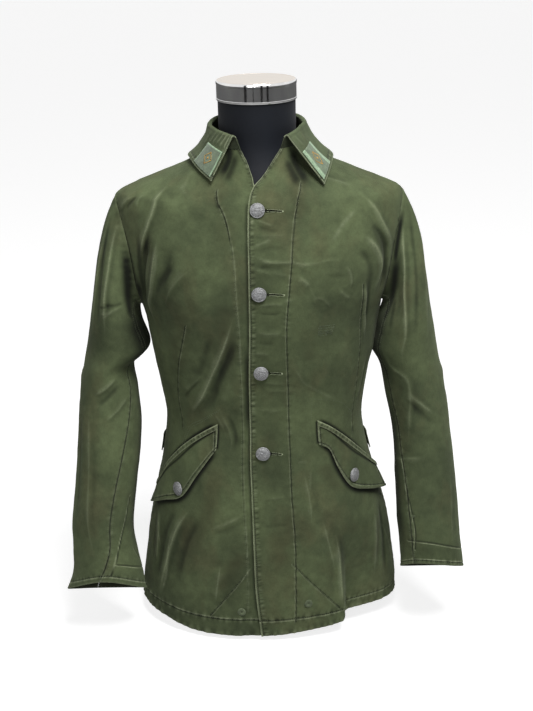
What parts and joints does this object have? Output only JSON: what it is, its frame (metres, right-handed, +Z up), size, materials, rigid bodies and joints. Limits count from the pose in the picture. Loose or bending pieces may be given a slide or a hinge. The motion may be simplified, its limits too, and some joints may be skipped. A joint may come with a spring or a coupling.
{
  "type": "field jacket on a limbless dress form",
  "caption": "Olive field jacket worn by a plain dark dress form with a bright neck cap; buttoned front, spread collar with tabs, slanting flapped pockets, open sleeves and hem.",
  "frame": {"origin": "centre of the form's flat underside, on the surface that it stands on", "axes": "+X to the wearer's left, -Y to the front, +Z up"},
  "size_m": [0.6222, 0.2765, 0.8495],
  "materials": {
    "cloth": "washed cotton twill, matte, worn lighter at its edges",
    "collar_tab": "matte wool felt with a pale edge",
    "form": "matte dark navy",
    "cap": "polished, with a brushed top",
    "button": "dull grey, pebbled"
  },
  "bodies": {
    "root": {"dress_form": "form", "neck_cap": "cap", "front_left": "cloth", "front_right": "cloth", "back": "cloth", "sleeve_left_top": "cloth", "sleeve_left_under": "cloth", "sleeve_right_top": "cloth", "sleeve_right_under": "cloth", "collar_stand": "cloth", "collar_fall": "cloth", "collar_tab_left": "collar_tab", "collar_tab_right": "collar_tab", "pocket_flap_left": "cloth", "pocket_flap_right": "cloth", "pocket_welt_left": "cloth", "pocket_welt_right": "cloth", "waist_tab_left": "cloth", "waist_tab_right": "cloth", "button_front_1": "button", "button_front_2": "button", "button_front_3": "button", "button_front_4": "button", "button_pocket_left": "button", "button_pocket_right": "button", "hem_stud_left": "cloth", "hem_stud_right": "cloth"}
  },
  "joints": []
}
